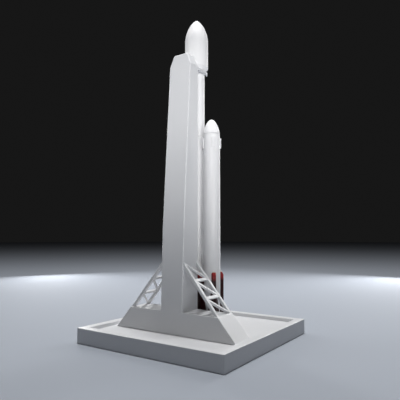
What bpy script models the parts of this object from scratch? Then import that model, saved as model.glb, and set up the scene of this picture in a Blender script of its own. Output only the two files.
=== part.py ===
"""A desk display model, at one to two hundred, of a three-core space rocket on its stand.

A core stage with a wide payload fairing stands between two side boosters in the middle of a
square tray. A tower on a low pedestal stands in front of them (towards -Y), and two lattice
braces run from the tower's sides down to the pedestal. Metres, +Z up. The origin is the centre
of the tray's underside, the X axis runs through all three cores.
"""
import math

import bmesh
import bpy
from mathutils import Matrix, Vector

# Fit between pieces that touch
GAP = 0.0003
WELD = 0.00001

# Tray
TRAY_SIDE = 0.178
TRAY_HEIGHT = 0.016
TRAY_RIM = 0.009
FLOOR_Z = 0.0118
TRAY_EDGE = 0.0005
SHARP_ANGLE = math.radians(30.0)

# Pedestal: a block with slanted left and right ends
PEDESTAL_FRONT_Y = -0.045
PEDESTAL_BACK_Y = -0.0172
PEDESTAL_TOP_Z = 0.035
PEDESTAL_TOP_HALF = 0.0552
PEDESTAL_FOOT_HALF = 0.0753

# Tower: its front leans back, first slightly and then more, and its back is upright
TOWER_HALF = 0.01385
TOWER_TOP_Z = 0.3079
TOWER_KINK_Z = 0.1216
TOWER_LOWER_LEAN = 0.030
TOWER_UPPER_LEAN = 0.063
TOWER_TOP_HALF = 0.0088
TOWER_SHOULDER_Z = 0.2955

# Braces: the outer surface of each runs from the tower's side to the pedestal's top edge
BRACE_TOP_Z = 0.0838
BRACE_FOOT_X = 0.0545
BRACE_SETBACK = 0.0007
BRACE_RAIL_DEPTH = 0.0034
BRACE_RAIL_THICKNESS = 0.0029
BRACE_RUNG = 0.0030
BRACE_DIAGONAL = 0.0019
BRACE_BAYS = 3
DIAGONAL_INSET = 0.08
LACING_INSET = 0.0003
# The bars are cut out of slabs of unlike depth, so that no two of them share a face
RUNG_STOCK = 2.0 * BRACE_RAIL_THICKNESS
DIAGONAL_STOCK = 2.4 * BRACE_RAIL_THICKNESS

# Rocket
CORE_RADIUS = 0.00915
BOOSTER_X = 0.0202
SEGMENTS = 48
ENGINE_EXIT_Z = FLOOR_Z + GAP
ENGINE_PLATE_Z = 0.0168
ENGINE_PLATE_HEIGHT = 0.0012
ENGINE_SECTION_TOP_Z = 0.0250
BELL_EXIT_RADIUS = 0.0021
BELL_THROAT_RADIUS = 0.0010
BELL_CIRCLE = 0.0063
BELLS_IN_CIRCLE = 8
BELL_SEGMENTS = 12
CORE_TANK_TOP_Z = 0.2206
INTERSTAGE_TOP_Z = 0.2520
UPPER_STAGE_TOP_Z = 0.2975
ADAPTER_FOOT_RADIUS = 0.0096
FAIRING_RADIUS = 0.0131
FAIRING_BASE_Z = 0.3012
FAIRING_STRAIGHT_TOP_Z = 0.3330
FAIRING_TIP_Z = 0.3581
BOOSTER_TANK_TOP_Z = 0.2040
BOOSTER_COLLAR_TOP_Z = 0.2222
BOOSTER_TIP_Z = 0.2391
NOSE_RINGS = 12

# Noses: the powers of the radius and of the height in the curve of each
FAIRING_CURVE = (1.53, 1.67)
BOOSTER_CURVE = (1.90, 1.45)

# Landing legs, folded up against each core. Each is a shell that hugs the core, wide at its
# foot and narrow above, with a ridge along its middle and a round tip that slopes inwards
LEG_BEARINGS = (45.0, 135.0, 225.0, 315.0)
LEG_FOOT_Z = 0.0150
LEG_WIDE_Z = 0.0330
LEG_NARROW_Z = 0.0620
LEG_TIP_Z = 0.0733
LEG_WIDE_HALF_ANGLE = math.radians(36.0)
LEG_NARROW_HALF_WIDTH = 0.0026
LEG_FLARE = 1.6
LEG_THICKNESS = 0.0031
LEG_EDGE_THICKNESS = 0.0006
LEG_RIDGE_HALF_WIDTH = 0.0015
LEG_TIP_SLOPE_HEIGHT = 0.0040
LEG_TIP_THICKNESS = 0.0012
LEG_COLUMNS = 6
LEG_RIDGE_COLUMNS = 2
LEG_FLARE_ROWS = 5
LEG_TIP_ROWS = 4

# Grid fins, folded down against each core: open cells under a thicker hinge block
FIN_WIDTH = 0.0042
FIN_HEIGHT = 0.0112
FIN_THICKNESS = 0.0007
FIN_HINGE_HEIGHT = 0.0016
FIN_HINGE_THICKNESS = 0.0011
FIN_FRAME = 0.00040
FIN_BAR = 0.00030
FIN_COLUMNS = 3
FIN_ROWS = 6
CORE_FIN_TOP_Z = 0.2334
BOOSTER_FIN_TOP_Z = 0.2181

# Couplings between the core and each booster
COUPLING_WIDTH = 0.0030
COUPLING_HEIGHT = 0.0060
COUPLING_HEIGHTS = {"upper": 0.2145, "lower": 0.0860}

# Claw arms that reach from the tower's back round the upper stage, and stand off it at the tip
CLAW_BOTTOM_Z = 0.2932
CLAW_HEIGHT = 0.0027
CLAW_FIT = GAP / 3
CLAW_INNER_RADIUS = CORE_RADIUS + GAP
CLAW_OUTER_RADIUS = 0.0128
CLAW_TIP_INNER_RADIUS = 0.0110
CLAW_TIP_OUTER_RADIUS = 0.0118
CLAW_END_BEARING = 48.0
CLAW_ARC_STEPS = 8


def clear_scene():
    for thing in list(bpy.data.objects):
        bpy.data.objects.remove(thing, do_unlink=True)


def make_collection(name):
    collection = bpy.data.collections.new(name)
    bpy.context.scene.collection.children.link(collection)
    return collection


def make_material(name, colour, roughness, metallic=0.0):
    material = bpy.data.materials.new(name)
    material.use_nodes = True
    shader = material.node_tree.nodes["Principled BSDF"]
    shader.inputs["Base Color"].default_value = (*colour, 1.0)
    shader.inputs["Roughness"].default_value = roughness
    shader.inputs["Metallic"].default_value = metallic
    return material


clear_scene()
MODEL = make_collection("space_rocket")
CUTTERS = make_collection("cutters")
STAND_WHITE = make_material("stand_white", (0.78, 0.79, 0.80), 0.38)
ROCKET_WHITE = make_material("rocket_white", (0.88, 0.88, 0.88), 0.22)
LEG_RED = make_material("leg_red", (0.30, 0.03, 0.03), 0.40)
ENGINE_GREY = make_material("engine_grey", (0.10, 0.10, 0.11), 0.45, 0.6)


def place(name, bm, material, collection=MODEL):
    """Make an object from a bmesh and free the bmesh."""
    bmesh.ops.recalc_face_normals(bm, faces=bm.faces)
    mesh = bpy.data.meshes.new(name)
    bm.to_mesh(mesh)
    bm.free()
    thing = bpy.data.objects.new(name, mesh)
    collection.objects.link(thing)
    if material:
        mesh.materials.append(material)
    return thing


def box(bm, low, high):
    """Add a box between two corners to a bmesh and return its vertices."""
    low, high = Vector(low), Vector(high)
    made = bmesh.ops.create_cube(bm, size=1.0)["verts"]
    matrix = Matrix.Translation((low + high) / 2) @ Matrix.Diagonal((*(high - low), 1.0))
    bmesh.ops.transform(bm, matrix=matrix, verts=made)
    return made


def upright_turn(degrees):
    return Matrix.Rotation(math.radians(degrees), 4, "Z")


def flat_outline(name, points, thickness, material, collection=MODEL):
    """A flat closed outline in X and Y, given its thickness along Z, as a mesh object."""
    curve = bpy.data.curves.new(name, "CURVE")
    curve.dimensions = "2D"
    curve.fill_mode = "BOTH"
    curve.extrude = thickness / 2
    spline = curve.splines.new("POLY")
    spline.points.add(len(points) - 1)
    for point, (x, y) in zip(spline.points, points):
        point.co = (x, y, 0.0, 1.0)
    spline.use_cyclic_u = True
    guide = bpy.data.objects.new(name + "_outline", curve)
    collection.objects.link(guide)
    bpy.context.view_layer.update()
    evaluated = guide.evaluated_get(bpy.context.evaluated_depsgraph_get())
    mesh = bpy.data.meshes.new_from_object(evaluated)
    bpy.data.objects.remove(guide, do_unlink=True)
    bm = bmesh.new()
    bm.from_mesh(mesh)
    bpy.data.meshes.remove(mesh)
    bmesh.ops.remove_doubles(bm, verts=bm.verts, dist=WELD)
    return place(name, bm, material, collection)


def turned(name, profile, centre_x=0.0):
    """A white solid turned round an upright axis from (radius, height), listed from the top."""
    mesh = bpy.data.meshes.new(name)
    points = [(radius, 0.0, height) for radius, height in profile]
    mesh.from_pydata(points, [(i, i + 1) for i in range(len(points) - 1)], [])
    mesh.materials.append(ROCKET_WHITE)
    thing = bpy.data.objects.new(name, mesh)
    thing.location.x = centre_x
    MODEL.objects.link(thing)
    screw = thing.modifiers.new("turn", "SCREW")
    screw.steps = SEGMENTS
    screw.render_steps = SEGMENTS
    screw.use_merge_vertices = True
    screw.merge_threshold = WELD
    screw.use_smooth_shade = True
    return thing


def nose_profile(radius, base_z, tip_z, curve):
    """Radii and heights of a rounded nose, from its tip down to its base."""
    radius_power, height_power = curve
    profile = [(0.0, tip_z)]
    for ring in range(1, NOSE_RINGS):
        part = math.cos(math.pi / 2 * ring / NOSE_RINGS)
        width = (1.0 - part ** height_power) ** (1.0 / radius_power)
        profile.append((radius * width, base_z + (tip_z - base_z) * part))
    profile.append((radius, base_z))
    return profile


def boolean(thing, other, operation):
    """Cut or join with another object, which becomes a hidden guide."""
    for collection in list(other.users_collection):
        collection.objects.unlink(other)
    CUTTERS.objects.link(other)
    other.hide_render = True
    other.display_type = "WIRE"
    modifier = thing.modifiers.new(operation.lower(), "BOOLEAN")
    modifier.operation = operation
    modifier.solver = "EXACT"
    modifier.object = other


# Stand

def build_tray():
    half = TRAY_SIDE / 2
    bm = bmesh.new()
    box(bm, (-half, -half, 0.0), (half, half, TRAY_HEIGHT))
    tray = place("base_tray", bm, STAND_WHITE)
    inner = half - TRAY_RIM
    bm = bmesh.new()
    box(bm, (-inner, -inner, FLOOR_Z), (inner, inner, 2 * TRAY_HEIGHT))
    boolean(tray, place("tray_hollow", bm, None, CUTTERS), "DIFFERENCE")
    bevel = tray.modifiers.new("edge", "BEVEL")
    bevel.width = TRAY_EDGE
    bevel.segments = 1
    bevel.limit_method = "ANGLE"
    bevel.angle_limit = SHARP_ANGLE


def build_pedestal():
    bottom = FLOOR_Z + GAP
    bm = bmesh.new()
    verts = box(bm, (-PEDESTAL_FOOT_HALF, PEDESTAL_FRONT_Y, bottom),
                (PEDESTAL_FOOT_HALF, PEDESTAL_BACK_Y, PEDESTAL_TOP_Z))
    for vert in verts:
        if vert.co.z > bottom + GAP:
            vert.co.x = math.copysign(PEDESTAL_TOP_HALF, vert.co.x)
    place("pedestal", bm, STAND_WHITE)


def tower_front_y(z):
    """Where the tower's leaning front face is at a height."""
    lower = min(z, TOWER_KINK_Z) - PEDESTAL_TOP_Z
    upper = max(z - TOWER_KINK_Z, 0.0)
    return PEDESTAL_FRONT_Y + TOWER_LOWER_LEAN * max(lower, 0.0) + TOWER_UPPER_LEAN * upper


def build_tower():
    bottom = PEDESTAL_TOP_Z + GAP
    bm = bmesh.new()
    box(bm, (-TOWER_HALF, PEDESTAL_FRONT_Y, bottom), (TOWER_HALF, PEDESTAL_BACK_Y, TOWER_TOP_Z))
    for height in (TOWER_KINK_Z, TOWER_SHOULDER_Z):
        geometry = bm.verts[:] + bm.edges[:] + bm.faces[:]
        bmesh.ops.bisect_plane(bm, geom=geometry, plane_co=(0.0, 0.0, height), plane_no=(0.0, 0.0, 1.0))
    middle_y = (PEDESTAL_FRONT_Y + PEDESTAL_BACK_Y) / 2
    for vert in bm.verts:
        if vert.co.y < middle_y:
            vert.co.y = tower_front_y(vert.co.z)
        if vert.co.z > TOWER_SHOULDER_Z + GAP:
            vert.co.x = math.copysign(TOWER_TOP_HALF, vert.co.x)
    place("launch_tower", bm, STAND_WHITE)


def brace_directions(side):
    """The brace's start on the tower, its run down the slope, and its outward normal."""
    start = Vector((side * (TOWER_HALF + GAP), 0.0, BRACE_TOP_Z))
    foot = Vector((side * BRACE_FOOT_X, 0.0, PEDESTAL_TOP_Z + GAP))
    run = foot - start
    normal = Vector((side * -run.z, 0.0, side * run.x)).normalized()
    return start, run, normal


def brace_slab(name, side, inset, front_y, back_y):
    """A slab of the brace: upright where it meets the tower, level at its foot."""
    start, run, normal = brace_directions(side)
    outer_top = start - Vector((0.0, 0.0, inset / abs(normal.z)))
    outer_foot = start + run - Vector((side * inset / abs(normal.x), 0.0, 0.0))
    depth = BRACE_RAIL_THICKNESS - 2 * inset
    corners = {
        ("top", "outer"): outer_top,
        ("top", "inner"): outer_top - Vector((0.0, 0.0, depth / abs(normal.z))),
        ("foot", "outer"): outer_foot,
        ("foot", "inner"): outer_foot - Vector((side * depth / abs(normal.x), 0.0, 0.0)),
    }
    bm = bmesh.new()
    for vert in bmesh.ops.create_cube(bm, size=1.0)["verts"]:
        end = "top" if vert.co.z > 0 else "foot"
        face = "outer" if vert.co.x > 0 else "inner"
        spot = corners[(end, face)].copy()
        spot.y = back_y(spot.z) if vert.co.y > 0 else front_y(spot.z)
        vert.co = spot
    return place(name, bm, STAND_WHITE)


def front_rail_front_y(z):
    return tower_front_y(z) + BRACE_SETBACK


def front_rail_back_y(z):
    return front_rail_front_y(z) + BRACE_RAIL_DEPTH


def back_rail_front_y(z):
    return PEDESTAL_BACK_Y - BRACE_RAIL_DEPTH


def build_brace_rails(label, side):
    """Two flat rails, one just behind the tower's front and one flush with its back."""
    brace_slab(f"{label}_brace_front_rail", side, 0.0, front_rail_front_y, front_rail_back_y)
    brace_slab(f"{label}_brace_back_rail", side, 0.0, back_rail_front_y, lambda z: PEDESTAL_BACK_Y)


def lacing_bar(start, end, width, stock, normal):
    """A bar through the brace between two points of its outer face, in a new bmesh."""
    along = (end - start).normalized()
    across = along.cross(normal).normalized()
    middle = (start + end) / 2 - normal * (BRACE_RAIL_THICKNESS / 2)
    length = (end - start).length + 2 * BRACE_RAIL_DEPTH
    bm = bmesh.new()
    bmesh.ops.create_cube(bm, size=1.0)
    frame = Matrix((along, across, normal)).transposed().to_4x4()
    scale = Matrix.Diagonal((length, width, stock, 1.0))
    bmesh.ops.transform(bm, matrix=Matrix.Translation(middle) @ frame @ scale, verts=bm.verts)
    return bm


def build_brace_lacing(label, side):
    """Rungs and diagonals as one zigzag between the rails.

    Each diagonal runs down from the front rail to the back one. The highest starts at the
    tower, and the others meet a rung at their ends.
    """
    start, run, normal = brace_directions(side)

    def on_brace(part, edge_y):
        spot = start + run * part
        spot.y = edge_y(spot.z)
        return spot

    # Each bar's upper and lower end as parts of the run, its width, and the stock it is cut from
    bars = []
    for rung in range(1, BRACE_BAYS):
        part = rung / BRACE_BAYS
        bars.append((part, part, BRACE_RUNG, RUNG_STOCK))
    for bay in range(BRACE_BAYS):
        upper = (bay + DIAGONAL_INSET) / BRACE_BAYS if bay else 0.0
        lower = (bay + 1 - DIAGONAL_INSET) / BRACE_BAYS
        bars.append((upper, lower, BRACE_DIAGONAL, DIAGONAL_STOCK))
    name = f"{label}_brace_lacing"
    lacing = brace_slab(name, side, LACING_INSET, lambda z: front_rail_back_y(z) + GAP,
                        lambda z: back_rail_front_y(z) - GAP)
    zigzag = None
    for number, (upper, lower, width, stock) in enumerate(bars):
        ends = on_brace(upper, front_rail_back_y), on_brace(lower, back_rail_front_y)
        bar = place(f"{name}_bar_{number}", lacing_bar(*ends, width, stock, normal), None, CUTTERS)
        if zigzag is None:
            zigzag = bar
        else:
            boolean(zigzag, bar, "UNION")
    boolean(lacing, zigzag, "INTERSECT")


def build_claw(name, side):
    """A flat arm that runs back beside the core and hooks round it to a narrow tip."""
    outline = [
        (CLAW_OUTER_RADIUS, PEDESTAL_BACK_Y + GAP),
        (CLAW_OUTER_RADIUS, 0.0),
    ]
    inner = CLAW_INNER_RADIUS + CLAW_FIT
    for step in range(1, CLAW_ARC_STEPS + 1):
        part = step / CLAW_ARC_STEPS
        bearing = math.radians(CLAW_END_BEARING * part)
        radius = CLAW_OUTER_RADIUS + (CLAW_TIP_OUTER_RADIUS - CLAW_OUTER_RADIUS) * part ** 2
        outline.append((radius * math.cos(bearing), radius * math.sin(bearing)))
    for step in range(CLAW_ARC_STEPS, -1, -1):
        part = step / CLAW_ARC_STEPS
        bearing = math.radians(CLAW_END_BEARING * part)
        radius = inner + (CLAW_TIP_INNER_RADIUS - inner) * part
        outline.append((radius * math.cos(bearing), radius * math.sin(bearing)))
    outline.append((CLAW_INNER_RADIUS, PEDESTAL_BACK_Y + GAP))
    outline = [(side * x, y) for x, y in outline]
    claw = flat_outline(name, outline, CLAW_HEIGHT, STAND_WHITE)
    claw.location.z = CLAW_BOTTOM_Z + CLAW_HEIGHT / 2


# Rocket

def build_engines(name, x):
    """A round plate with nine engine bells under it, joined into one solid."""
    bm = bmesh.new()
    bmesh.ops.create_cone(bm, cap_ends=True, segments=SEGMENTS, radius1=CORE_RADIUS - 2 * GAP,
                          radius2=CORE_RADIUS - 2 * GAP, depth=ENGINE_PLATE_HEIGHT)
    middle = ENGINE_PLATE_Z + ENGINE_PLATE_HEIGHT / 2
    bmesh.ops.translate(bm, vec=(x, 0.0, middle), verts=bm.verts)
    plate = place(name, bm, ENGINE_GREY)
    spots = [(0.0, 0.0)]
    for count in range(BELLS_IN_CIRCLE):
        bearing = math.tau * (count + 0.5) / BELLS_IN_CIRCLE
        spots.append((BELL_CIRCLE * math.cos(bearing), BELL_CIRCLE * math.sin(bearing)))
    bm = bmesh.new()
    depth = middle - ENGINE_EXIT_Z
    for spot_x, spot_y in spots:
        made = bmesh.ops.create_cone(bm, cap_ends=True, segments=BELL_SEGMENTS,
                                     radius1=BELL_EXIT_RADIUS, radius2=BELL_THROAT_RADIUS, depth=depth)
        bmesh.ops.translate(bm, vec=(x + spot_x, spot_y, ENGINE_EXIT_Z + depth / 2), verts=made["verts"])
    boolean(plate, place(name + "_bells", bm, None, CUTTERS), "UNION")


def build_cylinder(name, x, bottom, top):
    turned(name, [(0.0, top), (CORE_RADIUS, top), (CORE_RADIUS, bottom), (0.0, bottom)], x)


def leg_heights():
    """The heights of a leg's rows of points, from its foot up to its tip."""
    heights = [LEG_FOOT_Z]
    for row in range(LEG_FLARE_ROWS + 1):
        heights.append(LEG_WIDE_Z + (LEG_NARROW_Z - LEG_WIDE_Z) * row / LEG_FLARE_ROWS)
    heights.append(LEG_TIP_Z - LEG_TIP_SLOPE_HEIGHT)
    for row in range(LEG_TIP_ROWS + 1):
        turn = math.pi / 2 * row / LEG_TIP_ROWS
        heights.append(LEG_TIP_Z - LEG_NARROW_HALF_WIDTH * (1.0 - math.sin(turn)))
    return heights


def leg_point(across, z, is_outer):
    """A point of a leg that faces +X, from -1 to 1 across it, on its inner or outer side."""
    inner_radius = CORE_RADIUS + GAP
    tip_part = max(z - (LEG_TIP_Z - LEG_NARROW_HALF_WIDTH), 0.0) / LEG_NARROW_HALF_WIDTH
    narrowing = math.sqrt(max(1.0 - tip_part ** 2, 0.0))
    spread = min(max((LEG_NARROW_Z - z) / (LEG_NARROW_Z - LEG_WIDE_Z), 0.0), 1.0) ** LEG_FLARE
    narrow_angle = LEG_NARROW_HALF_WIDTH / (inner_radius + LEG_EDGE_THICKNESS) * narrowing
    half_angle = narrow_angle + (LEG_WIDE_HALF_ANGLE - narrow_angle) * spread
    if not is_outer:
        turn = across * half_angle
        return Vector((inner_radius * math.cos(turn), inner_radius * math.sin(turn), z))
    slope_part = max(z - (LEG_TIP_Z - LEG_TIP_SLOPE_HEIGHT), 0.0) / LEG_TIP_SLOPE_HEIGHT
    thickness = LEG_THICKNESS + (LEG_TIP_THICKNESS - LEG_THICKNESS) * slope_part
    edge_thickness = thickness + (LEG_EDGE_THICKNESS - thickness) * narrowing
    edge_radius = inner_radius + edge_thickness
    edge = Vector((edge_radius * math.cos(half_angle), edge_radius * math.sin(half_angle), z))
    ridge = Vector((inner_radius + thickness, LEG_RIDGE_HALF_WIDTH * narrowing, z))
    ridge_part = LEG_RIDGE_COLUMNS / LEG_COLUMNS
    if abs(across) < ridge_part:
        ridge.y *= across / ridge_part
        return ridge
    spot = ridge.lerp(edge, (abs(across) - ridge_part) / (1.0 - ridge_part))
    spot.y = math.copysign(spot.y, across)
    return spot


def build_leg(name, x, bearing):
    """A slab of rows and columns, each of its points moved to its place on the leg."""
    heights = leg_heights()
    rows = len(heights) - 1
    bm = bmesh.new()
    bmesh.ops.create_grid(bm, x_segments=LEG_COLUMNS, y_segments=rows, size=1.0)
    raised = bmesh.ops.extrude_face_region(bm, geom=bm.faces[:])["geom"]
    outer = [item for item in raised if isinstance(item, bmesh.types.BMVert)]
    bmesh.ops.translate(bm, vec=(0.0, 0.0, 1.0), verts=outer)
    for vert in bm.verts:
        height = heights[round((vert.co.y + 1.0) / 2 * rows)]
        vert.co = leg_point(vert.co.x, height, vert.co.z > 0.5)
    bmesh.ops.remove_doubles(bm, verts=bm.verts, dist=WELD)
    leg = place(name, bm, LEG_RED)
    leg.matrix_world = Matrix.Translation((x, 0.0, 0.0)) @ upright_turn(bearing)


def build_fin(name, x, top, bearing):
    """A thin panel of open cells that hangs from a thicker hinge block."""
    inner = CORE_RADIUS + GAP
    bottom = top - FIN_HEIGHT
    hinge = top - FIN_HINGE_HEIGHT
    outline = [
        (inner, bottom),
        (inner + FIN_THICKNESS, bottom),
        (inner + FIN_THICKNESS, hinge),
        (inner + FIN_HINGE_THICKNESS, hinge + (FIN_HINGE_THICKNESS - FIN_THICKNESS)),
        (inner + FIN_HINGE_THICKNESS, top),
        (inner, top),
    ]
    fin = flat_outline(name, outline, FIN_WIDTH, ROCKET_WHITE)
    fin.data.transform(Matrix.Rotation(math.radians(90.0), 4, "X"))
    cell_width = (FIN_WIDTH - 2 * FIN_FRAME - (FIN_COLUMNS - 1) * FIN_BAR) / FIN_COLUMNS
    cell_height = (hinge - bottom - 2 * FIN_FRAME - (FIN_ROWS - 1) * FIN_BAR) / FIN_ROWS
    bm = bmesh.new()
    for column in range(FIN_COLUMNS):
        left = -FIN_WIDTH / 2 + FIN_FRAME + column * (cell_width + FIN_BAR)
        for row in range(FIN_ROWS):
            low = bottom + FIN_FRAME + row * (cell_height + FIN_BAR)
            box(bm, (inner - FIN_THICKNESS, left, low),
                (inner + 2 * FIN_THICKNESS, left + cell_width, low + cell_height))
    cells = place(name + "_cells", bm, None, CUTTERS)
    boolean(fin, cells, "DIFFERENCE")
    for thing in (fin, cells):
        thing.matrix_world = Matrix.Translation((x, 0.0, 0.0)) @ upright_turn(bearing)


def build_first_stage(stage, x, tank_top, fin_top):
    """What the core and both boosters share: engines, engine section, tank, legs and fins."""
    build_engines(stage + "_engines", x)
    section_bottom = ENGINE_PLATE_Z + ENGINE_PLATE_HEIGHT + GAP
    build_cylinder(stage + "_engine_section", x, section_bottom, ENGINE_SECTION_TOP_Z - GAP)
    build_cylinder(stage + "_tank", x, ENGINE_SECTION_TOP_Z, tank_top)
    for number, bearing in enumerate(LEG_BEARINGS, start=1):
        build_leg(f"{stage}_leg_{number}", x, bearing)
        build_fin(f"{stage}_grid_fin_{number}", x, fin_top, bearing)


def build_fairing_half(name, side, profile):
    """The half of the turned fairing that lies on one side of the seam between the halves."""
    shell = turned(name, profile)
    reach = 2 * FAIRING_RADIUS
    low_y, high_y = sorted((side * GAP / 2, side * reach))
    bm = bmesh.new()
    box(bm, (-reach, low_y, FAIRING_BASE_Z - reach), (reach, high_y, FAIRING_TIP_Z + reach))
    boolean(shell, place(name + "_side", bm, None, CUTTERS), "INTERSECT")


def build_core():
    build_first_stage("core", 0.0, CORE_TANK_TOP_Z, CORE_FIN_TOP_Z)
    build_cylinder("core_interstage", 0.0, CORE_TANK_TOP_Z + GAP, INTERSTAGE_TOP_Z)
    build_cylinder("upper_stage", 0.0, INTERSTAGE_TOP_Z + GAP, UPPER_STAGE_TOP_Z)
    turned("fairing_adapter", [
        (0.0, FAIRING_BASE_Z),
        (FAIRING_RADIUS, FAIRING_BASE_Z),
        (ADAPTER_FOOT_RADIUS, UPPER_STAGE_TOP_Z + GAP),
        (0.0, UPPER_STAGE_TOP_Z + GAP),
    ])
    profile = nose_profile(FAIRING_RADIUS, FAIRING_STRAIGHT_TOP_Z, FAIRING_TIP_Z, FAIRING_CURVE)
    profile.append((FAIRING_RADIUS, FAIRING_BASE_Z + GAP))
    profile.append((0.0, FAIRING_BASE_Z + GAP))
    build_fairing_half("fairing_front_half", -1.0, profile)
    build_fairing_half("fairing_back_half", 1.0, profile)


def build_booster(stage, x):
    build_first_stage(stage, x, BOOSTER_TANK_TOP_Z, BOOSTER_FIN_TOP_Z)
    build_cylinder(stage + "_collar", x, BOOSTER_TANK_TOP_Z + GAP, BOOSTER_COLLAR_TOP_Z)
    base = BOOSTER_COLLAR_TOP_Z + GAP
    profile = nose_profile(CORE_RADIUS, base, BOOSTER_TIP_Z, BOOSTER_CURVE)
    profile.append((0.0, base))
    turned(stage + "_nose", profile, x)
    side = math.copysign(1.0, x)
    for level, height in COUPLING_HEIGHTS.items():
        near, far = sorted((side * (CORE_RADIUS + GAP), x - side * (CORE_RADIUS + GAP)))
        bm = bmesh.new()
        box(bm, (near, -COUPLING_WIDTH / 2, height), (far, COUPLING_WIDTH / 2, height + COUPLING_HEIGHT))
        place(f"{stage}_{level}_coupling", bm, ROCKET_WHITE)


def build_braces():
    for label, side in (("left", -1.0), ("right", 1.0)):
        build_brace_rails(label, side)
        build_brace_lacing(label, side)


build_tray()
build_pedestal()
build_tower()
build_braces()
build_claw("left_claw_arm", -1.0)
build_claw("right_claw_arm", 1.0)
build_core()
build_booster("left_booster", -BOOSTER_X)
build_booster("right_booster", BOOSTER_X)
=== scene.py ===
"""The finished look of a desk display model of a space rocket on its launch stand.

The stand is a square moulded tray with a tower on a low pedestal, two lattice braces and two
claw arms. The rocket is a core with a wide payload fairing between two side boosters. Every
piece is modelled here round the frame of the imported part, in metres, +Z up.
"""
import math

import bmesh
import bpy
from mathutils import Matrix, Vector


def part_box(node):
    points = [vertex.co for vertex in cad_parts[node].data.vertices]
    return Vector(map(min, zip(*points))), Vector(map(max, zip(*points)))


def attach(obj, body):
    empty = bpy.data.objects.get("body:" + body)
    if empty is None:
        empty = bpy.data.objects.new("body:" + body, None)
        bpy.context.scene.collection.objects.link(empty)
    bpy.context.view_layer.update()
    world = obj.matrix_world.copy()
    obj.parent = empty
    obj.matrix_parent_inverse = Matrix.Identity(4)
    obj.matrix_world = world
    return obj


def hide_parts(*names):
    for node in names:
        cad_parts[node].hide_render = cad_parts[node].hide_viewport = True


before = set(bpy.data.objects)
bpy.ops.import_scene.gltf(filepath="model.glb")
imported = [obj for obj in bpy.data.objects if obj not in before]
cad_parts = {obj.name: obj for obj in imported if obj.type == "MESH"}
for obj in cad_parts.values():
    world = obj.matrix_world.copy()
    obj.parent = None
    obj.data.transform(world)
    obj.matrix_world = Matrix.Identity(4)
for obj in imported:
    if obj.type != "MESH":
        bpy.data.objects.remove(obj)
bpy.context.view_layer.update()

# Camera
# It looks a little upwards from a low spot off the tray's right front corner. Its focal length
# is given in pixels of a picture 400 pixels wide.
PICTURE_WIDTH = 400.0
FOCAL_PIXELS = 430.4
SENSOR_WIDTH = 36.0
CAMERA_SPOT = (0.27333, -0.39386, 0.11303)
CAMERA_TURN = math.radians(34.29)
CAMERA_TILT = math.radians(4.52)
NEAREST_SEEN = 0.01

camera_data = bpy.data.cameras.new("camera")
camera_data.sensor_width = SENSOR_WIDTH
camera_data.lens = FOCAL_PIXELS / PICTURE_WIDTH * SENSOR_WIDTH
camera_data.clip_start = NEAREST_SEEN
camera = bpy.data.objects.new("camera", camera_data)
camera.location = CAMERA_SPOT
camera.rotation_euler = (math.pi / 2 + CAMERA_TILT, 0.0, CAMERA_TURN)
bpy.context.scene.collection.objects.link(camera)
bpy.context.scene.camera = camera

# Studio
# A pale round floor fades into the dark far off. A panel hangs straight overhead, and soft spots
# light the upper part from the front and both sides. Two upright panels behind brighten the
# edges, and two weak ones, low in front and high behind, fill in the rest.
FLOOR_RADIUS = 6.0
FLOOR_SEGMENTS = 96
FLOOR_COLOUR = (0.308, 0.334, 0.380)
FLOOR_ROUGHNESS = 0.9
# Each spot's bearing to the right of the camera's, its distance from the axis, its height, its
# own radius, the width of its beam in degrees, the height it aims at and its power
SPOTS = {
    "high_spot": (0.0, 0.60, 0.32, 0.12, 37.0, 0.285, 9.8),
    "low_spot": (30.0, 0.60, 0.13, 0.08, 34.0, 0.22, 4.6),
    "left_spot": (-95.0, 0.60, 0.36, 0.12, 40.0, 0.27, 4.9),
    "right_spot": (80.0, 0.60, 0.36, 0.12, 40.0, 0.27, 1.7),
}
SPOT_BLEND = 0.7
# Each panel's bearing, distance, height, width, upright size, the height it aims at and its power
PANELS = {
    "overhead_panel": (0.0, 0.001, 1.80, 0.30, 0.30, 0.0, 28.0),
    "front_panel": (0.0, 0.90, 0.10, 2.20, 0.20, 0.10, 0.05),
    "left_rim_panel": (-150.0, 0.80, 0.35, 0.12, 0.60, 0.25, 2.6),
    "right_rim_panel": (140.0, 0.80, 0.35, 0.12, 0.60, 0.25, 3.2),
    "back_panel": (180.0, 0.70, 0.90, 0.50, 0.50, 0.15, 1.0),
}
SURROUND_COLOUR = (0.84, 0.84, 0.84)
SURROUND_STRENGTH = 0.010

bm = bmesh.new()
bmesh.ops.create_circle(bm, cap_ends=True, segments=FLOOR_SEGMENTS, radius=FLOOR_RADIUS)
floor_mesh = bpy.data.meshes.new("studio_floor")
bm.to_mesh(floor_mesh)
bm.free()
floor = bpy.data.objects.new("studio_floor", floor_mesh)
bpy.context.scene.collection.objects.link(floor)
paper = bpy.data.materials.new("studio_paper")
paper.use_nodes = True
paper_shader = paper.node_tree.nodes["Principled BSDF"]
paper_shader.inputs["Base Color"].default_value = (*FLOOR_COLOUR, 1.0)
paper_shader.inputs["Roughness"].default_value = FLOOR_ROUGHNESS
floor_mesh.materials.append(paper)


def hang_lamp(lamp_data, bearing, distance, height, aim_z):
    """Hang a lamp at a bearing and a distance from the axis, aimed at a height on the axis."""
    lamp = bpy.data.objects.new(lamp_data.name, lamp_data)
    turn = math.radians(bearing) + CAMERA_TURN - math.pi / 2
    lamp.location = (distance * math.cos(turn), distance * math.sin(turn), height)
    lamp.rotation_euler = (Vector((0.0, 0.0, aim_z)) - lamp.location).to_track_quat("-Z", "Y").to_euler()
    lamp.visible_camera = False
    bpy.context.scene.collection.objects.link(lamp)


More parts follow.
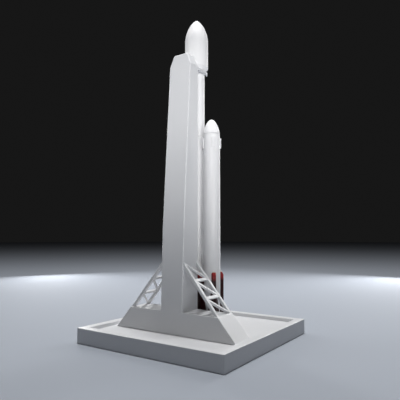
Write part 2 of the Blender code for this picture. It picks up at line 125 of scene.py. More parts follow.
for name, (bearing, distance, height, radius, beam, aim_z, power) in SPOTS.items():
    spot_data = bpy.data.lights.new(name, "SPOT")
    spot_data.shadow_soft_size = radius
    spot_data.spot_size = math.radians(beam)
    spot_data.spot_blend = SPOT_BLEND
    spot_data.energy = power
    hang_lamp(spot_data, bearing, distance, height, aim_z)
for name, (bearing, distance, height, width, upright, aim_z, power) in PANELS.items():
    panel_data = bpy.data.lights.new(name, "AREA")
    panel_data.shape = "RECTANGLE"
    panel_data.size = width
    panel_data.size_y = upright
    panel_data.energy = power
    hang_lamp(panel_data, bearing, distance, height, aim_z)
surround = bpy.data.worlds.new("surround")
surround.use_nodes = True
background = surround.node_tree.nodes["Background"]
background.inputs["Color"].default_value = (*SURROUND_COLOUR, 1.0)
background.inputs["Strength"].default_value = SURROUND_STRENGTH
bpy.context.scene.world = surround
bpy.context.scene.view_settings.view_transform = "Standard"

# Tray
# The square foot of the stand: a tray with a raised rim round a shallow floor, moulded in one
# from satin off-white plastic. Its edges are slightly rounded, as the mould leaves them.
TRAY_RIM = 0.009
TRAY_FLOOR_Z = 0.0118
TRAY_ROUNDING = 0.0006
STAND_COLOUR = (0.68, 0.685, 0.70)
STAND_COLOUR_DULL = (0.65, 0.657, 0.675)
STAND_ROUGHNESS = 0.34
STAND_COAT = 0.15
STAND_GRAIN = 0.0004
STAND_GRAIN_HEIGHT = 0.000012
COAT_ROUGHNESS = 0.08
CLOUD_SIZE = 0.045
CLOUD_DETAIL = 4.0
CLOUD_EDGES = (0.30, 0.70)
GLOSS_PATCH_SIZE = 0.012
GLOSS_PATCH_DETAIL = 3.0
GLOSS_SPREAD = 0.15
GRAIN_DETAIL = 2.0
SHARP_ANGLE = math.radians(36.0)
ROUNDED_ANGLE = math.radians(20.0)
tray_low, tray_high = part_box("base_tray")


def moulded_plastic(name, colour, second_colour, roughness, coat, grain, grain_height):
    """Moulded plastic: faint clouds of a second tone, uneven gloss and a fine mould grain."""
    material = bpy.data.materials.new(name)
    material.use_nodes = True
    tree = material.node_tree
    shader = tree.nodes["Principled BSDF"]
    shader.inputs["Coat Weight"].default_value = coat
    shader.inputs["Coat Roughness"].default_value = COAT_ROUGHNESS
    coordinates = tree.nodes.new("ShaderNodeTexCoord")

    def noise(size, detail):
        """A noise whose patches have a given size, fixed to the piece."""
        node = tree.nodes.new("ShaderNodeTexNoise")
        node.inputs["Scale"].default_value = 1.0 / size
        node.inputs["Detail"].default_value = detail
        tree.links.new(coordinates.outputs["Object"], node.inputs["Vector"])
        return node.outputs["Fac"]

    clouds = tree.nodes.new("ShaderNodeValToRGB")
    tones = (second_colour, colour)
    for element, position, tone in zip(clouds.color_ramp.elements, CLOUD_EDGES, tones):
        element.position = position
        element.color = (*tone, 1.0)
    tree.links.new(noise(CLOUD_SIZE, CLOUD_DETAIL), clouds.inputs["Fac"])
    tree.links.new(clouds.outputs["Color"], shader.inputs["Base Color"])
    gloss = tree.nodes.new("ShaderNodeMapRange")
    gloss.inputs["To Min"].default_value = roughness * (1.0 - GLOSS_SPREAD)
    gloss.inputs["To Max"].default_value = roughness * (1.0 + GLOSS_SPREAD)
    tree.links.new(noise(GLOSS_PATCH_SIZE, GLOSS_PATCH_DETAIL), gloss.inputs["Value"])
    tree.links.new(gloss.outputs["Result"], shader.inputs["Roughness"])
    bump = tree.nodes.new("ShaderNodeBump")
    bump.inputs["Distance"].default_value = grain_height
    bump.inputs["Strength"].default_value = 1.0
    tree.links.new(noise(grain, GRAIN_DETAIL), bump.inputs["Height"])
    tree.links.new(bump.outputs["Normal"], shader.inputs["Normal"])
    return material


def finish(name, bm, material, replaced):
    """Turn a bmesh into a piece that stands for the nodes it replaces, its flat faces kept flat."""
    mesh = bpy.data.meshes.new(name)
    bm.to_mesh(mesh)
    bm.free()
    mesh.shade_smooth()
    mesh.set_sharp_from_angle(angle=SHARP_ANGLE)
    mesh.materials.append(material)
    piece = bpy.data.objects.new(name, mesh)
    bpy.context.scene.collection.objects.link(piece)
    flat = piece.modifiers.new("flat_faces", "WEIGHTED_NORMAL")
    flat.keep_sharp = True
    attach(piece, "root")
    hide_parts(*replaced)
    return piece


def round_edges(bm, width, segments=3):
    """Round every edge that is sharp enough to show."""
    edges = [edge for edge in bm.edges
             if len(edge.link_faces) == 2 and edge.calc_face_angle() > ROUNDED_ANGLE]
    bmesh.ops.bevel(bm, geom=edges, offset=width, offset_type="OFFSET", segments=segments, profile=0.5,
                    affect="EDGES", clamp_overlap=True, material=-1)


def block(bm, low, high):
    """Add a box between two corners and return its vertices."""
    low, high = Vector(low), Vector(high)
    made = bmesh.ops.create_cube(bm, size=1.0)["verts"]
    matrix = Matrix.Translation((low + high) / 2) @ Matrix.Diagonal((*(high - low), 1.0))
    bmesh.ops.transform(bm, matrix=matrix, verts=made)
    return made


stand_plastic = moulded_plastic("stand_plastic", STAND_COLOUR, STAND_COLOUR_DULL, STAND_ROUGHNESS,
                                STAND_COAT, STAND_GRAIN, STAND_GRAIN_HEIGHT)
bm = bmesh.new()
block(bm, tray_low, tray_high)
top_face = max(bm.faces, key=lambda face: face.calc_center_median().z)
bmesh.ops.inset_region(bm, faces=[top_face], thickness=TRAY_RIM, use_even_offset=True)
sunk = bmesh.ops.extrude_face_region(bm, geom=[top_face])["geom"]
bmesh.ops.translate(bm, vec=(0.0, 0.0, TRAY_FLOOR_Z - tray_high.z),
                    verts=[item for item in sunk if isinstance(item, bmesh.types.BMVert)])
bmesh.ops.delete(bm, geom=[top_face], context="FACES_ONLY")
bmesh.ops.recalc_face_normals(bm, faces=bm.faces)
round_edges(bm, TRAY_ROUNDING)
finish("tray", bm, stand_plastic, ["base_tray"])

# Pedestal and tower
# One moulding of the same plastic, fixed to the tray's floor: a block with slanted ends, and a
# slim tower that rises from it flush with its front and back. The tower's front leans back, a
# little more above a faint kink, its top corners are cut off, and its edges are well rounded.
PEDESTAL_TOP_HALF = 0.0552
TOWER_KINK_Z = 0.1216
TOWER_SHOULDER_Z = 0.2955
TOWER_TOP_HALF = 0.0088
TOWER_LOWER_LEAN = 0.030
TOWER_UPPER_LEAN = 0.063
TOWER_ROUNDING = 0.0010
TOWER_ROUNDING_SEGMENTS = 4
PEDESTAL_ROUNDING_PART = 0.45
UPWARD_NORMAL_Z = 0.9
MERGE_DISTANCE = 0.00001
pedestal_low, pedestal_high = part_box("pedestal")
tower_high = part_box("launch_tower")[1]
tower_half = tower_high.x


def tower_front_y(z):
    """Where the tower's front face is at a height."""
    lower = max(min(z, TOWER_KINK_Z) - pedestal_high.z, 0.0)
    upper = max(z - TOWER_KINK_Z, 0.0)
    return pedestal_low.y + TOWER_LOWER_LEAN * lower + TOWER_UPPER_LEAN * upper


bm = bmesh.new()
for vert in block(bm, pedestal_low, pedestal_high):
    if vert.co.z > (pedestal_low.z + pedestal_high.z) / 2:
        vert.co.x = math.copysign(PEDESTAL_TOP_HALF, vert.co.x)
for side in (-1.0, 1.0):
    bmesh.ops.bisect_plane(bm, geom=bm.verts[:] + bm.edges[:] + bm.faces[:],
                           plane_co=(side * tower_half, 0.0, 0.0), plane_no=(1.0, 0.0, 0.0))
bm.normal_update()
tower_end = min((face for face in bm.faces if face.normal.z > UPWARD_NORMAL_Z),
                key=lambda face: abs(face.calc_center_median().x))
for height in (TOWER_KINK_Z, TOWER_SHOULDER_Z, tower_high.z):
    risen = bmesh.ops.extrude_face_region(bm, geom=[tower_end])["geom"]
    bmesh.ops.delete(bm, geom=[tower_end], context="FACES_ONLY")
    tower_end = next(item for item in risen if isinstance(item, bmesh.types.BMFace))
    for vert in tower_end.verts:
        vert.co.z = height
middle_y = (pedestal_low.y + pedestal_high.y) / 2
for vert in bm.verts:
    if vert.co.z > pedestal_high.z and vert.co.y < middle_y:
        vert.co.y = tower_front_y(vert.co.z)
    if vert.co.z > (TOWER_SHOULDER_Z + tower_high.z) / 2:
        vert.co.x = math.copysign(TOWER_TOP_HALF, vert.co.x)
bmesh.ops.recalc_face_normals(bm, faces=bm.faces)
bm.normal_update()
rounding_part = bm.edges.layers.float.new("bevel_weight_edge")
for edge in bm.edges:
    highest = max(vert.co.z for vert in edge.verts)
    is_rounded = edge.calc_face_angle() > ROUNDED_ANGLE and edge.is_convex
    if is_rounded and highest > pedestal_low.z + MERGE_DISTANCE:
        on_tower = highest > pedestal_high.z + MERGE_DISTANCE
        edge[rounding_part] = 1.0 if on_tower else PEDESTAL_ROUNDING_PART
moulding = finish("tower_and_pedestal", bm, stand_plastic, ["pedestal", "launch_tower"])
rounding = moulding.modifiers.new("rounding", "BEVEL")
rounding.limit_method = "WEIGHT"
rounding.affect = "EDGES"
rounding.width = TOWER_ROUNDING
rounding.segments = TOWER_ROUNDING_SEGMENTS
rounding.profile = 0.5
rounding.material = -1
# The flat faces' normals are worked out after the rounding.
moulding.modifiers.move(1, 0)

# Brace rails
# Each brace has two flat bars of the stand's plastic, one just behind the tower's front and one
# flush with its back. Their ends are let into the tower's side and the pedestal's top.
BRACE_TOP_Z = 0.0838
BRACE_FOOT_X = 0.0545
BRACE_ROUNDING = 0.0003
LET_IN = 0.0004
SEAT_REACH = 0.0006
FLAT_ANGLE = math.radians(0.5)
SIDES = {"left": -1.0, "right": 1.0}


def merged_copy(node):
    """A bmesh of a node's solid, with its loose triangles merged and its flat faces made whole."""
    bm = bmesh.new()
    bm.from_mesh(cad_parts[node].data)
    bmesh.ops.remove_doubles(bm, verts=bm.verts, dist=MERGE_DISTANCE)
    bmesh.ops.dissolve_limit(bm, angle_limit=FLAT_ANGLE, verts=bm.verts, edges=bm.edges)
    return bm


def seat_rail(bm, side):
    """Lengthen a rail along its slope until both ends are let into the stand."""
    slope = Vector((side * (BRACE_FOOT_X - tower_half), 0.0, pedestal_high.z - BRACE_TOP_Z)).normalized()
    for vert in bm.verts:
        if abs(vert.co.x) < tower_half + SEAT_REACH:
            vert.co -= slope * ((abs(vert.co.x) - tower_half + LET_IN) / abs(slope.x))
        elif vert.co.z < pedestal_high.z + SEAT_REACH:
            vert.co += slope * ((vert.co.z - pedestal_high.z + LET_IN) / abs(slope.z))


for label, side in SIDES.items():
    for place in ("front", "back"):
        node = f"{label}_brace_{place}_rail"
        bm = merged_copy(node)
        seat_rail(bm, side)
        round_edges(bm, BRACE_ROUNDING)
        finish(f"{label}_{place}_rail", bm, stand_plastic, [node])

# Brace lacing
# Rungs and thinner diagonals of the same plastic cross from rail to rail. Their ends are let
# into the rails, so that each brace looks like one moulded ladder.
BRACE_SETBACK = 0.0007
BRACE_RAIL_DEPTH = 0.0034
LACING_ROUNDING = 0.00022


def seat_lacing(bm):
    """Lengthen the bars until they are let into the rails, and the highest one into the tower."""
    for vert in bm.verts:
        front_y = tower_front_y(vert.co.z) + BRACE_SETBACK + BRACE_RAIL_DEPTH
        back_y = pedestal_high.y - BRACE_RAIL_DEPTH
        if abs(vert.co.x) < tower_half + SEAT_REACH:
            vert.co.x = math.copysign(tower_half - LET_IN, vert.co.x)
        if vert.co.y < front_y + SEAT_REACH:
            vert.co.y = front_y - LET_IN
        elif vert.co.y > back_y - SEAT_REACH:
            vert.co.y = back_y + LET_IN


for label in SIDES:
    node = f"{label}_brace_lacing"
    bm = merged_copy(node)
    seat_lacing(bm)
    round_edges(bm, LACING_ROUNDING, segments=2)
    finish(f"{label}_lacing", bm, stand_plastic, [node])

# Claw arms
# Two flat arms of the stand's plastic reach back from the tower's top on either side of the
# upper stage and hook round it to a narrow tip. They grip by their own spring.
CLAW_ROUNDING = 0.0004

for label in SIDES:
    node = f"{label}_claw_arm"
    bm = merged_copy(node)
    for vert in bm.verts:
        if vert.co.y < tower_high.y + SEAT_REACH:
            vert.co.y = tower_high.y - LET_IN
    round_edges(bm, CLAW_ROUNDING)
    finish(f"{label}_claw", bm, stand_plastic, [node])

# Stage bodies
# The straight cylinders of the rocket: engine sections, tanks, the ring above each booster's
# tank, the core's interstage and the upper stage. Satin white plastic tubes, stacked and glued.
# Most joints are hairlines. The ones below the noses and the interstage are open a little.
BODY_SEGMENTS = 128
RIM_STEPS = 4
# The width of each kind of joint, and how far the edges that meet there are rounded
HAIRLINE = (0.00004, 0.00008)
OPEN_JOINT = (0.00025, 0.00025)
ROCKET_COLOUR = (0.80, 0.80, 0.808)
ROCKET_COLOUR_DULL = (0.78, 0.78, 0.79)
ROCKET_ROUGHNESS = 0.56
ROCKET_COAT = 0.08
ROCKET_GRAIN = 0.0030
ROCKET_GRAIN_HEIGHT = 0.000006
FINE_MERGE_DISTANCE = 0.000001
STACKS = {
    "core": ("engine_section", "tank", "interstage"),
    "left_booster": ("engine_section", "tank", "collar", "nose"),
    "right_booster": ("engine_section", "tank", "collar", "nose"),
}
ABOVE_INTERSTAGE = ("core_interstage", "upper_stage", "fairing_adapter")
OPEN_JOINTS_UNDER = ("core_interstage", "left_booster_nose", "right_booster_nose")

satin_white = moulded_plastic("satin_white", ROCKET_COLOUR, ROCKET_COLOUR_DULL, ROCKET_ROUGHNESS,
                              ROCKET_COAT, ROCKET_GRAIN, ROCKET_GRAIN_HEIGHT)


def turned(profile, centre_x=0.0):
    """A bmesh turned round an upright axis from radii and heights, listed from the top down."""
    bm = bmesh.new()
    verts = [bm.verts.new((radius, 0.0, height)) for radius, height in profile]
    edges = [bm.edges.new(pair) for pair in zip(verts, verts[1:])]
    bmesh.ops.spin(bm, geom=verts + edges, cent=(0.0, 0.0, 0.0), axis=(0.0, 0.0, 1.0),
                   angle=math.tau, steps=BODY_SEGMENTS, use_merge=True)
    bmesh.ops.remove_doubles(bm, verts=bm.verts, dist=FINE_MERGE_DISTANCE)
    bmesh.ops.recalc_face_normals(bm, faces=bm.faces)
    bmesh.ops.translate(bm, verts=bm.verts, vec=(centre_x, 0.0, 0.0))
    return bm


def rim(radius, z, rounding, is_top):
    """A cylinder's rounded rim as radii and heights, from the top down."""
    points = []
    for step in range(RIM_STEPS + 1):
        turn = math.pi / 2 * step / RIM_STEPS
        inwards = rounding * (1.0 - math.sin(turn))
        down = rounding * (1.0 - math.cos(turn))
        points.append((radius - inwards, z - down if is_top else z + down))
    return points if is_top else points[::-1]


def joint_under(node):
    """The kind of joint that is under a piece."""
    return OPEN_JOINT if node in OPEN_JOINTS_UNDER else HAIRLINE


def stage_body(node, node_above):
    """A cylinder that reaches up to its joint with the piece above."""
    low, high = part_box(node)
    radius = (high.x - low.x) / 2
    width, top_rounding = joint_under(node_above)
    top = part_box(node_above)[0].z - width
    profile = [(0.0, top)] + rim(radius, top, top_rounding, True)
    profile += rim(radius, low.z, joint_under(node)[1], False) + [(0.0, low.z)]
    finish(node + "_shell", turned(profile, (low.x + high.x) / 2), satin_white, [node])


for stage, parts in STACKS.items():
    for part, part_above in zip(parts, parts[1:]):
        stage_body(f"{stage}_{part}", f"{stage}_{part_above}")
for node, node_above in zip(ABOVE_INTERSTAGE, ABOVE_INTERSTAGE[1:]):
    stage_body(node, node_above)

# Booster noses
# A blunt cone of the same satin white closes each booster and is glued on the ring below it. Its
# curve is given by two powers, one of the radius and one of the height.
BOOSTER_CURVE = (1.90, 1.45)
NOSE_RINGS = 48


def nose_profile(radius, base_z, tip_z, curve):
    """Radii and heights of a rounded nose, from its tip down to just above its base."""
    radius_power, height_power = curve
    profile = [(0.0, tip_z)]
    for ring in range(1, NOSE_RINGS):
        part = math.cos(math.pi / 2 * ring / NOSE_RINGS)
        width = (1.0 - part ** height_power) ** (1.0 / radius_power)
        profile.append((radius * width, base_z + (tip_z - base_z) * part))
    return profile


for stage in ("left_booster", "right_booster"):
    node = f"{stage}_nose"
    low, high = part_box(node)
    radius = (high.x - low.x) / 2
    base_rounding = joint_under(node)[1]
    profile = nose_profile(radius, low.z + base_rounding, high.z, BOOSTER_CURVE)
    profile += rim(radius, low.z, base_rounding, False) + [(0.0, low.z)]
    bm = turned(profile, (low.x + high.x) / 2)
    finish(f"{node}_cone", bm, satin_white, [node])

# Fairing adapter
# A short cone widens the upper stage to the fairing. It is turned from the same satin white
# plastic, glued on the upper stage, and its wide end is the fairing's seat.
ADAPTER_FOOT_RADIUS = 0.0096
ADAPTER_ROUNDING = 0.0003

low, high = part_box("fairing_adapter")
radius = (high.x - low.x) / 2
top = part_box("fairing_front_half")[0].z - HAIRLINE[0]
profile = [(0.0, top)] + rim(radius, top, ADAPTER_ROUNDING, True)
profile += [(radius, high.z - ADAPTER_ROUNDING)] + rim(ADAPTER_FOOT_RADIUS, low.z, HAIRLINE[1], False)
finish("fairing_adapter_ring", turned(profile + [(0.0, low.z)]), satin_white,
       ["fairing_adapter"])

# Fairing halves
# The payload fairing is two moulded half shells, front and back, glued along an upright seam
# that shows as a hairline at either side. Each half is cut from one turned shape.
FAIRING_CURVE = (1.53, 1.67)
FAIRING_STRAIGHT_TOP_Z = 0.3330
FAIRING_SEAM = 0.00006

low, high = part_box("fairing_front_half")
radius = (high.x - low.x) / 2
fairing_profile = nose_profile(radius, FAIRING_STRAIGHT_TOP_Z, high.z, FAIRING_CURVE)
fairing_profile += [(radius, FAIRING_STRAIGHT_TOP_Z)] + rim(radius, low.z, HAIRLINE[1], False)
fairing_profile += [(0.0, low.z)]
for label, side in (("front", -1.0), ("back", 1.0)):
    bm = turned(fairing_profile)
    cut = bmesh.ops.bisect_plane(bm, geom=bm.verts[:] + bm.edges[:] + bm.faces[:], clear_inner=True,
                                 plane_co=(0.0, side * FAIRING_SEAM / 2, 0.0), plane_no=(0.0, side, 0.0))
    seam_edges = [item for item in cut["geom_cut"] if isinstance(item, bmesh.types.BMEdge)]
    bmesh.ops.edgenet_fill(bm, edges=seam_edges)
    bmesh.ops.recalc_face_normals(bm, faces=bm.faces)
    finish(f"fairing_{label}_shell", bm, satin_white, [f"fairing_{label}_half"])

# Landing legs
# Four legs lie folded up against each core, glued to it. Each is a satin red moulding that hugs
# the core: wide at its foot, narrow above, with a flat ridge and a sloped round tip. Up to about a
# centimetre below its tip it is painted nearly black, partly a darker colour of the leg and partly
# painted shade for the shade that lies low between the stages. The tip's very end is painted cream,
# partly the leg's pale tip and partly a painted highlight where the sloped tip catches the light.
LEG_COLOUR = (0.34, 0.030, 0.030)
LEG_COLOUR_DULL = (0.28, 0.024, 0.025)
# The nearly black low on each leg is partly the leg's darker colour and partly painted shade.
LEG_DARK_AND_SHADE_COLOUR = (0.028, 0.005, 0.006)
# The cream at each tip's end is partly the leg's pale tip and partly a painted highlight.
LEG_CREAM_AND_HIGHLIGHT_COLOUR = (0.62, 0.57, 0.50)
LEG_DARK_AND_SHADE_BELOW_TIP = 0.0100
LEG_RED_BELOW_TIP = 0.0060
LEG_CREAM_AND_HIGHLIGHT_BELOW_TIP = 0.0009
LEG_CREAM_AND_HIGHLIGHT_FADE = 0.0003
LEG_ROUGHNESS = 0.40
LEG_COAT = 0.10
LEG_SHINE = 0.2
LEG_GRAIN = 0.0015
LEG_GRAIN_HEIGHT = 0.000008
CORE_RADIUS = 0.00915
SKIN_FIT = 0.00005
LEG_BEARINGS = {1: 45.0, 2: 135.0, 3: 225.0, 4: 315.0}
LEG_WIDE_Z = 0.0330
LEG_NARROW_Z = 0.0620
LEG_WIDE_HALF_ANGLE = math.radians(36.0)
LEG_NARROW_HALF_WIDTH = 0.0026
LEG_FLARE = 1.6
LEG_THICKNESS = 0.00335
LEG_EDGE_THICKNESS = 0.00085
LEG_RIDGE_HALF_WIDTH = 0.0015
LEG_TIP_SLOPE_HEIGHT = 0.0040
LEG_TIP_THICKNESS = 0.00145
LEG_COLUMNS = 18
LEG_RIDGE_COLUMNS = 6
LEG_FLARE_ROWS = 20
LEG_TIP_ROWS = 10
LEG_ROUNDING = 0.0002
SLAB_HEIGHT = 1.0
# Where each stage stands, in multiples of the right booster's distance from the middle
STAGES = {"core": 0.0, "left_booster": -1.0, "right_booster": 1.0}
booster_low, booster_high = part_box("right_booster_tank")
booster_x = (booster_low.x + booster_high.x) / 2
leg_low, leg_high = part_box("core_leg_1")
leg_foot_z = leg_low.z
leg_tip_z = leg_high.z

leg_plastic = moulded_plastic("leg_plastic", LEG_COLOUR, LEG_COLOUR_DULL, LEG_ROUGHNESS, LEG_COAT,
                              LEG_GRAIN, LEG_GRAIN_HEIGHT)
leg_plastic.node_tree.nodes["Principled BSDF"].inputs["Specular IOR Level"].default_value = LEG_SHINE


def blend_colour_by_height(material, colour, full_z, none_z):
    """Blend a colour over a material's own: all of it at one height and none at the other."""
    tree = material.node_tree
    shader = tree.nodes["Principled BSDF"]
    coordinates = tree.nodes.new("ShaderNodeTexCoord")
    axes = tree.nodes.new("ShaderNodeSeparateXYZ")
    share = tree.nodes.new("ShaderNodeMapRange")
    share.inputs["From Min"].default_value = none_z
    share.inputs["From Max"].default_value = full_z
    blend = tree.nodes.new("ShaderNodeMix")
    blend.data_type = "RGBA"
    under = shader.inputs["Base Color"].links[0].from_socket
    tree.links.new(coordinates.outputs["Object"], axes.inputs["Vector"])
    tree.links.new(axes.outputs["Z"], share.inputs["Value"])
    tree.links.new(share.outputs["Result"], blend.inputs["Factor"])
    tree.links.new(under, blend.inputs["A"])
    blend.inputs["B"].default_value = (*colour, 1.0)
    tree.links.new(blend.outputs["Result"], shader.inputs["Base Color"])


# Nearly black low on the leg: partly the leg's darker colour, partly painted shade between the stages.
blend_colour_by_height(leg_plastic, LEG_DARK_AND_SHADE_COLOUR, leg_tip_z - LEG_DARK_AND_SHADE_BELOW_TIP, leg_tip_z - LEG_RED_BELOW_TIP)
# Cream at the tip's very end: partly the leg's pale tip, partly a painted highlight on the sloped tip.
blend_colour_by_height(leg_plastic, LEG_CREAM_AND_HIGHLIGHT_COLOUR, leg_tip_z - LEG_CREAM_AND_HIGHLIGHT_BELOW_TIP + LEG_CREAM_AND_HIGHLIGHT_FADE,
      leg_tip_z - LEG_CREAM_AND_HIGHLIGHT_BELOW_TIP)


def leg_heights():
    """The heights of a leg's rows of points, from its foot up to its tip."""
    heights = [leg_foot_z]
    for row in range(LEG_FLARE_ROWS + 1):
        heights.append(LEG_WIDE_Z + (LEG_NARROW_Z - LEG_WIDE_Z) * row / LEG_FLARE_ROWS)
    heights.append(leg_tip_z - LEG_TIP_SLOPE_HEIGHT)
    for row in range(LEG_TIP_ROWS + 1):
        turn = math.pi / 2 * row / LEG_TIP_ROWS
        heights.append(leg_tip_z - LEG_NARROW_HALF_WIDTH * (1.0 - math.sin(turn)))
    return heights


def leg_point(across, z, is_outer):
    """A point of a leg that faces +X, from -1 to 1 across it, on its inner or outer side."""
    inner_radius = CORE_RADIUS + SKIN_FIT
    tip_part = max(z - (leg_tip_z - LEG_NARROW_HALF_WIDTH), 0.0) / LEG_NARROW_HALF_WIDTH
    narrowing = math.sqrt(max(1.0 - tip_part ** 2, 0.0))
    spread = min(max((LEG_NARROW_Z - z) / (LEG_NARROW_Z - LEG_WIDE_Z), 0.0), 1.0) ** LEG_FLARE
    narrow_angle = LEG_NARROW_HALF_WIDTH / (inner_radius + LEG_EDGE_THICKNESS) * narrowing
    half_angle = narrow_angle + (LEG_WIDE_HALF_ANGLE - narrow_angle) * spread
    if not is_outer:
        turn = across * half_angle
        return Vector((inner_radius * math.cos(turn), inner_radius * math.sin(turn), z))
    slope_part = max(z - (leg_tip_z - LEG_TIP_SLOPE_HEIGHT), 0.0) / LEG_TIP_SLOPE_HEIGHT
    thickness = LEG_THICKNESS + (LEG_TIP_THICKNESS - LEG_THICKNESS) * slope_part
    edge_thickness = thickness + (LEG_EDGE_THICKNESS - thickness) * narrowing
    edge_radius = inner_radius + edge_thickness
    edge = Vector((edge_radius * math.cos(half_angle), edge_radius * math.sin(half_angle), z))
    ridge = Vector((inner_radius + thickness, LEG_RIDGE_HALF_WIDTH * narrowing, z))
    ridge_part = LEG_RIDGE_COLUMNS / LEG_COLUMNS
    if abs(across) < ridge_part:
        ridge.y *= across / ridge_part
        return ridge
    spot = ridge.lerp(edge, (abs(across) - ridge_part) / (1.0 - ridge_part))
    spot.y = math.copysign(spot.y, across)
    return spot


def leg_bmesh():
    """A slab of rows and columns, each of its points moved to its place on a leg."""
    heights = leg_heights()
    rows = len(heights) - 1
    bm = bmesh.new()
    bmesh.ops.create_grid(bm, x_segments=LEG_COLUMNS, y_segments=rows, size=1.0)
    raised = bmesh.ops.extrude_face_region(bm, geom=bm.faces[:])["geom"]
    bmesh.ops.translate(bm, vec=(0.0, 0.0, SLAB_HEIGHT),
                        verts=[item for item in raised if isinstance(item, bmesh.types.BMVert)])
    for vert in bm.verts:
        height = heights[round((vert.co.y + 1.0) / 2 * rows)]
        vert.co = leg_point(vert.co.x, height, vert.co.z > SLAB_HEIGHT / 2)
    bmesh.ops.remove_doubles(bm, verts=bm.verts, dist=MERGE_DISTANCE)
    bmesh.ops.recalc_face_normals(bm, faces=bm.faces)
    round_edges(bm, LEG_ROUNDING, segments=2)
    return bm


def stand_at(bm, stage, bearing):
    """Turn a shape that faces +X to its bearing round the axis of a stage."""
    turn = Matrix.Rotation(math.radians(bearing), 4, "Z")
    shift = Matrix.Translation((STAGES[stage] * booster_x, 0.0, 0.0))
    bmesh.ops.transform(bm, matrix=shift @ turn, verts=bm.verts)


for stage in STAGES:
    for number, bearing in LEG_BEARINGS.items():
        bm = leg_bmesh()
        stand_at(bm, stage, bearing)
        finish(f"{stage}_leg_{number}_moulding", bm, leg_plastic, [f"{stage}_leg_{number}"])

# Grid fins
# Four thin panels with rows of shallow cells hang folded against each core, under a thicker hinge
# block with a pin through it. Each fin is one satin white moulding, glued on by its hinge.
FIN_WIDTH = 0.0042
FIN_THICKNESS = 0.00095
FIN_HINGE_HEIGHT = 0.0016
FIN_HINGE_THICKNESS = 0.00135
FIN_FRAME = 0.00040
FIN_BAR = 0.00030
FIN_CELL_DEPTH = 0.0002
FIN_COLUMNS = 3
FIN_ROWS = 6
FIN_ROUNDING = 0.00005
HINGE_ROUNDING = 0.00015
HINGE_PIN_RADIUS = 0.00045
HINGE_PIN_OVERHANG = 0.0003
HINGE_PIN_SEGMENTS = 24


def cell_lines(length, count):
    """Where the edges of a row of cells lie, from one side of the panel to the other."""
    cell = (length - 2 * FIN_FRAME - (count - 1) * FIN_BAR) / count
    lines = [0.0, FIN_FRAME]
    for number in range(count):
        lines.append(lines[-1] + cell)
        lines.append(lines[-1] + FIN_BAR)
    lines[-1] = length
    return lines


def fin_bmesh(bottom, top):
    """A fin's panel that faces +X: a sheet made thick, with its cells pushed in."""
    inner = CORE_RADIUS + SKIN_FIT
    hinge_z = top - FIN_HINGE_HEIGHT
    across_lines = cell_lines(FIN_WIDTH, FIN_COLUMNS)
    height_lines = cell_lines(hinge_z - bottom, FIN_ROWS)
    columns, rows = len(across_lines) - 1, len(height_lines) - 1
    bm = bmesh.new()
    bmesh.ops.create_grid(bm, x_segments=columns, y_segments=rows, size=1.0)
    raised = bmesh.ops.extrude_face_region(bm, geom=bm.faces[:])["geom"]
    cells = []
    for face in [item for item in raised if isinstance(item, bmesh.types.BMFace)]:
        middle = face.calc_center_median()
        column = int((middle.x + 1.0) / 2 * columns)
        row = int((middle.y + 1.0) / 2 * rows)
        if column % 2 and row % 2:
            cells.append(face)
    outer_verts = {item for item in raised if isinstance(item, bmesh.types.BMVert)}
    for vert in bm.verts:
        across = across_lines[round((vert.co.x + 1.0) / 2 * columns)] - FIN_WIDTH / 2
        height = bottom + height_lines[round((vert.co.y + 1.0) / 2 * rows)]
        vert.co = (inner + (FIN_THICKNESS if vert in outer_verts else 0.0), across, height)
    pushed = bmesh.ops.extrude_discrete_faces(bm, faces=cells)["faces"]
    bmesh.ops.translate(bm, vec=(-FIN_CELL_DEPTH, 0.0, 0.0),
                        verts=[vert for face in pushed for vert in face.verts])
    bmesh.ops.recalc_face_normals(bm, faces=bm.faces)
    round_edges(bm, FIN_ROUNDING, segments=1)
    return bm


def add_hinge(bm, top):
    """Add the hinge block, with a step down to the panel, and the pin that shows at its ends."""
    inner = CORE_RADIUS + SKIN_FIT
    hinge_z = top - FIN_HINGE_HEIGHT
    hinge = bmesh.new()
    block(hinge, (inner, -FIN_WIDTH / 2, hinge_z), (inner + FIN_HINGE_THICKNESS, FIN_WIDTH / 2, top))
    round_edges(hinge, HINGE_ROUNDING)
    pin = bmesh.ops.create_cone(hinge, cap_ends=True, segments=HINGE_PIN_SEGMENTS,
                                radius1=HINGE_PIN_RADIUS, radius2=HINGE_PIN_RADIUS,
                                depth=FIN_WIDTH + 2 * HINGE_PIN_OVERHANG)["verts"]
    middle = Vector((inner + FIN_HINGE_THICKNESS / 2, 0.0, (hinge_z + top) / 2))
    lay = Matrix.Translation(middle) @ Matrix.Rotation(math.pi / 2, 4, "X")
    bmesh.ops.transform(hinge, matrix=lay, verts=pin)
    hinge_mesh = bpy.data.meshes.new("hinge")
    hinge.to_mesh(hinge_mesh)
    hinge.free()
    bm.from_mesh(hinge_mesh)
    bpy.data.meshes.remove(hinge_mesh)


for stage in STAGES:
    for number, bearing in LEG_BEARINGS.items():
        node = f"{stage}_grid_fin_{number}"
        low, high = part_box(node)
        bm = fin_bmesh(low.z, high.z)
        add_hinge(bm, high.z)
        stand_at(bm, stage, bearing)
        finish(node + "_panel", bm, satin_white, [node])

# Couplings
# Two short struts join each booster to the core, one under the fins and one above the legs.
# They are small white blocks, let into both tubes and glued.
COUPLING_ROUNDING = 0.0003
COUPLING_LET_IN = 0.0005

for stage in ("left_booster", "right_booster"):
    for level in ("upper", "lower"):
        node = f"{stage}_{level}_coupling"
        low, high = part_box(node)
        reach = Vector((COUPLING_LET_IN, 0.0, 0.0))
        bm = bmesh.new()
        block(bm, low - reach, high + reach)
        round_edges(bm, COUPLING_ROUNDING)
        finish(node + "_strut", bm, satin_white, [node])

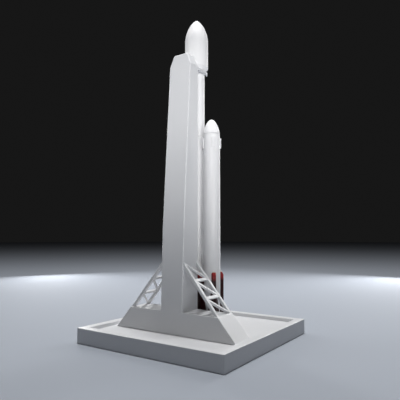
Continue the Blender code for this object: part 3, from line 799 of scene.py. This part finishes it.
# Engines
# Nine dark grey bells hang under a round plate in the foot of each core. Each bell is a thin
# hollow cone with a lip at its mouth, moulded with the plate and glued in from below.
ENGINE_COLOUR = (0.105, 0.105, 0.115)
ENGINE_COLOUR_DULL = (0.075, 0.075, 0.082)
ENGINE_ROUGHNESS = 0.38
ENGINE_COAT = 0.1
ENGINE_GRAIN = 0.0008
ENGINE_GRAIN_HEIGHT = 0.000008
BELL_EXIT_RADIUS = 0.0021
BELL_THROAT_RADIUS = 0.0010
BELL_WALL = 0.00025
BELL_CURVE = 0.75
BELL_STEPS = 10
BELL_SEGMENTS = 40
BELL_CIRCLE = 0.0063
BELLS_IN_CIRCLE = 8
PLATE_HEIGHT = 0.0012

engine_plastic = moulded_plastic("engine_plastic", ENGINE_COLOUR, ENGINE_COLOUR_DULL, ENGINE_ROUGHNESS,
                                 ENGINE_COAT, ENGINE_GRAIN, ENGINE_GRAIN_HEIGHT)


def add_bell(bm, spot, exit_z, throat_z):
    """Add one hollow bell: out along its inside, round its lip, back outside and over its cap."""
    before = set(bm.verts)
    inside, outside = [], []
    for step in range(BELL_STEPS + 1):
        part = step / BELL_STEPS
        radius = BELL_THROAT_RADIUS + (BELL_EXIT_RADIUS - BELL_THROAT_RADIUS) * part ** BELL_CURVE
        height = throat_z + (exit_z - throat_z) * part
        outside.append((radius, height))
        inside.append((radius - BELL_WALL, height))
    line = [(0.0, throat_z)] + inside + outside[::-1] + [(0.0, throat_z + BELL_WALL)]
    verts = [bm.verts.new((radius, 0.0, height)) for radius, height in line]
    edges = [bm.edges.new(pair) for pair in zip(verts, verts[1:])]
    bmesh.ops.spin(bm, geom=verts + edges, cent=(0.0, 0.0, 0.0), axis=(0.0, 0.0, 1.0),
                   angle=math.tau, steps=BELL_SEGMENTS, use_merge=True)
    made = [vert for vert in bm.verts if vert not in before]
    bmesh.ops.translate(bm, vec=spot, verts=made)


for stage in STAGES:
    node = f"{stage}_engines"
    low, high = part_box(node)
    bm = bmesh.new()
    spots = [Vector((0.0, 0.0, 0.0))]
    for count in range(BELLS_IN_CIRCLE):
        turn = math.tau * (count + 0.5) / BELLS_IN_CIRCLE
        spots.append(BELL_CIRCLE * Vector((math.cos(turn), math.sin(turn), 0.0)))
    for spot in spots:
        add_bell(bm, spot, low.z, high.z - PLATE_HEIGHT / 2)
    bmesh.ops.remove_doubles(bm, verts=bm.verts, dist=FINE_MERGE_DISTANCE)
    bmesh.ops.recalc_face_normals(bm, faces=bm.faces)
    plate_radius = (high.x - low.x) / 2
    bmesh.ops.create_cone(bm, cap_ends=True, segments=BODY_SEGMENTS, radius1=plate_radius,
                          radius2=plate_radius, depth=PLATE_HEIGHT,
                          matrix=Matrix.Translation((0.0, 0.0, high.z - PLATE_HEIGHT / 2)))
    stand_at(bm, stage, 0.0)
    finish(node + "_cluster", bm, engine_plastic, [node])
